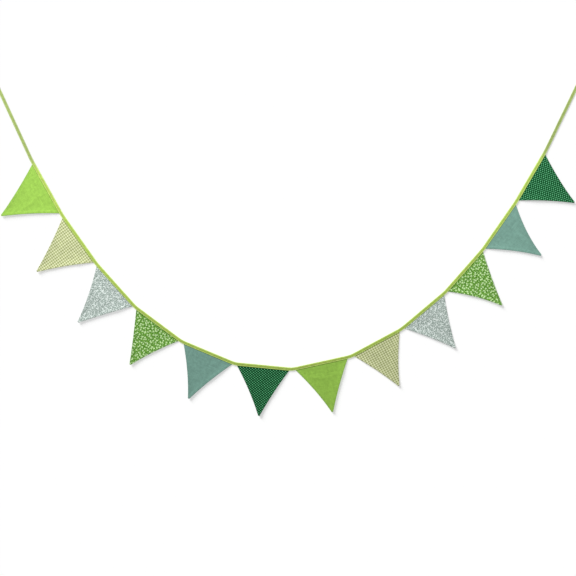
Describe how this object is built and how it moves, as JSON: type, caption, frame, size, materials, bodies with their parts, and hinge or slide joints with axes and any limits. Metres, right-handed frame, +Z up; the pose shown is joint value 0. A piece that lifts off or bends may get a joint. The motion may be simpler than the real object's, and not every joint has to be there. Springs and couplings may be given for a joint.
{
  "type": "fabric bunting",
  "caption": "Triangular cotton flags in greens, sewn side by side into one folded binding tape with bare ends for tying, lying flat in a deep curve.",
  "frame": {"origin": "under the middle of the whole bunting's box, on the surface that it lies on", "axes": "+X along the bunting from its first flag to its last, +Y towards the open side of the curve, +Z up from the surface"},
  "size_m": [1.755, 1.0364, 0.0057],
  "materials": {
    "binding_cotton": "lime bias binding, plain-woven cotton, matt",
    "lime_cotton": "plain lime quilting cotton, matt",
    "gingham_cotton": "small gingham, cream and olive green, yarn-dyed plain weave, matt",
    "sprig_cotton": "pale blue-grey cotton printed with small sprigs, matt",
    "ditsy_cotton": "mid green cotton printed with small pale flowers, matt",
    "sage_cotton": "plain sage quilting cotton, matt",
    "pindot_cotton": "dark green cotton printed with staggered light green pin dots, matt"
  },
  "bodies": {
    "root": {"binding_tape": "binding_cotton", "flag_01": "lime_cotton", "flag_02": "gingham_cotton", "flag_03": "sprig_cotton", "flag_04": "ditsy_cotton", "flag_05": "sage_cotton", "flag_06": "pindot_cotton", "flag_07": "lime_cotton", "flag_08": "gingham_cotton", "flag_09": "sprig_cotton", "flag_10": "ditsy_cotton", "flag_11": "sage_cotton", "flag_12": "pindot_cotton"}
  },
  "joints": []
}
